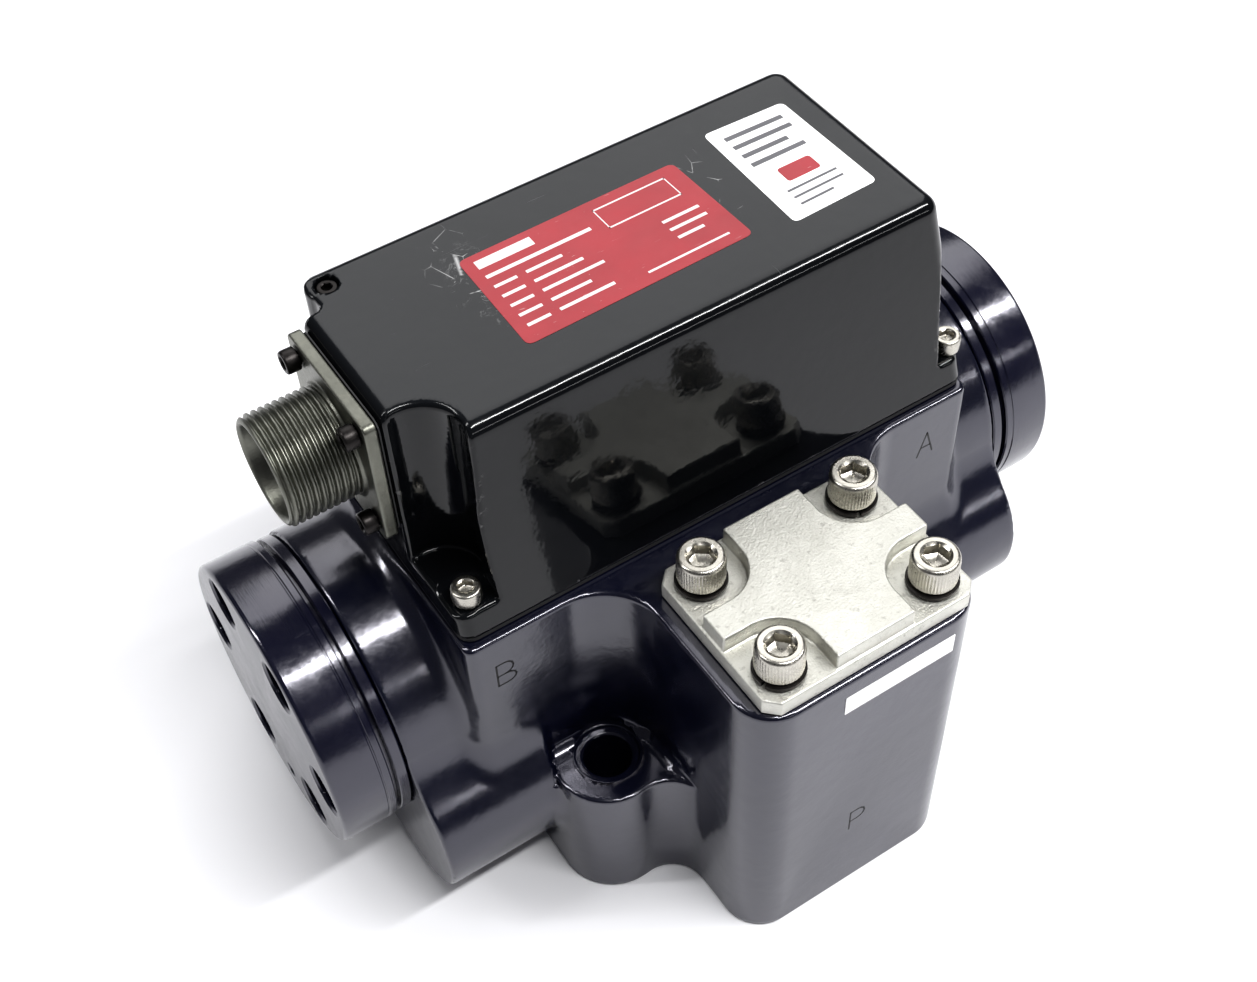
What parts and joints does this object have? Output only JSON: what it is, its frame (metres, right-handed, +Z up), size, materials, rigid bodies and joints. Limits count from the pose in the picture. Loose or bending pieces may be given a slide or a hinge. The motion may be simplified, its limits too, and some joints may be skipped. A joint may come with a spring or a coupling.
{
  "type": "electro-hydraulic servo valve",
  "caption": "Two-stage servo valve: black body with bolt ears and round end caps, motor cover with threaded connector, side filter block under a bolted metal plate.",
  "frame": {"origin": "centre of the port face, midway between the four bolt holes, under the spool", "axes": "+X along the spool away from the connector, +Y to the back, away from the filter block, +Z up from the port face"},
  "size_m": [0.183, 0.1351, 0.128],
  "materials": {
    "valve_body": "gloss black anodised, slight violet cast",
    "cap": "black anodised, turned",
    "cover": "gloss black paint, scuffed",
    "plate": "bead-blasted stainless",
    "steel": "plain stainless",
    "dark_steel": "black oxide",
    "connector": "olive grey plating, bright thread crests",
    "insert": "moulded insert",
    "rubber": "seal rubber",
    "hard_steel": "ground",
    "pole_iron": "machined nickel iron",
    "magnet": "magnet",
    "coil": "enamelled copper winding",
    "filter": "sintered",
    "pilot_alloy": "machined"
  },
  "bodies": {
    "valve": {"valve_body": "valve_body", "end_cap_left": "cap", "end_cap_right": "cap", "motor_cover": "cover", "filter_cover": "plate", "filter_screw_1": "steel", "filter_screw_2": "steel", "filter_screw_3": "steel", "filter_screw_4": "steel", "cover_screw_1": "steel", "cover_screw_2": "steel", "cover_screw_3": "steel", "cover_screw_4": "steel", "lock_washer_1": "dark_steel", "lock_washer_2": "dark_steel", "lock_washer_3": "dark_steel", "lock_washer_4": "dark_steel", "connector_screw_1": "dark_steel", "connector_screw_2": "dark_steel", "connector_screw_3": "dark_steel", "connector_screw_4": "dark_steel", "cap_screw_left_1": "dark_steel", "cap_screw_left_2": "dark_steel", "cap_screw_left_3": "dark_steel", "cap_screw_left_4": "dark_steel", "cap_screw_left_5": "dark_steel", "cap_screw_left_6": "dark_steel", "cap_screw_right_1": "dark_steel", "cap_screw_right_2": "dark_steel", "cap_screw_right_3": "dark_steel", "cap_screw_right_4": "dark_steel", "cap_screw_right_5": "dark_steel", "cap_screw_right_6": "dark_steel", "cover_plug": "dark_steel", "connector_shell": "connector", "connector_insert": "insert", "cap_oring_left": "rubber", "cap_oring_right": "rubber", "cover_gasket": "rubber", "connector_gasket": "rubber", "filter_oring": "rubber", "port_oring_a": "rubber", "port_oring_b": "rubber", "port_oring_p": "rubber", "port_oring_t": "rubber", "bushing_sleeve": "hard_steel", "flexure_tube": "hard_steel", "nozzle_left": "hard_steel", "nozzle_right": "hard_steel", "pole_piece_lower": "pole_iron", "pole_piece_upper": "pole_iron", "magnet_front": "magnet", "magnet_back": "magnet", "coil_left": "coil", "coil_right": "coil", "filter_element": "filter", "pilot_base": "pilot_alloy"},
    "spool": {"spool": "hard_steel"},
    "armature": {"armature": "pole_iron"},
    "feedback_wire": {"feedback_wire": "hard_steel"}
  },
  "joints": [
    {"name": "spool_slide", "type": "slide", "parent": "valve", "child": "spool", "axis": [1, 0, 0], "range_m": [-0.0013, 0.0013], "stiffness_N_per_m": 3000},
    {"name": "armature_tilt", "type": "hinge", "parent": "valve", "child": "armature", "pos_m": [0, 0, 0.102], "axis": [0, -1, 0], "range_deg": [-0.42, 0.42]},
    {"name": "feedback_wire_bend", "type": "hinge", "parent": "armature", "child": "feedback_wire", "pos_m": [0, 0, 0.086], "axis": [0, -1, 0], "range_deg": [-1.75, 1.75]}
  ],
  "couplings": [
    {"joint": "armature_tilt", "follows": "spool_slide", "rad_per_m": 5.37},
    {"joint": "feedback_wire_bend", "follows": "spool_slide", "rad_per_m": 22.17}
  ]
}
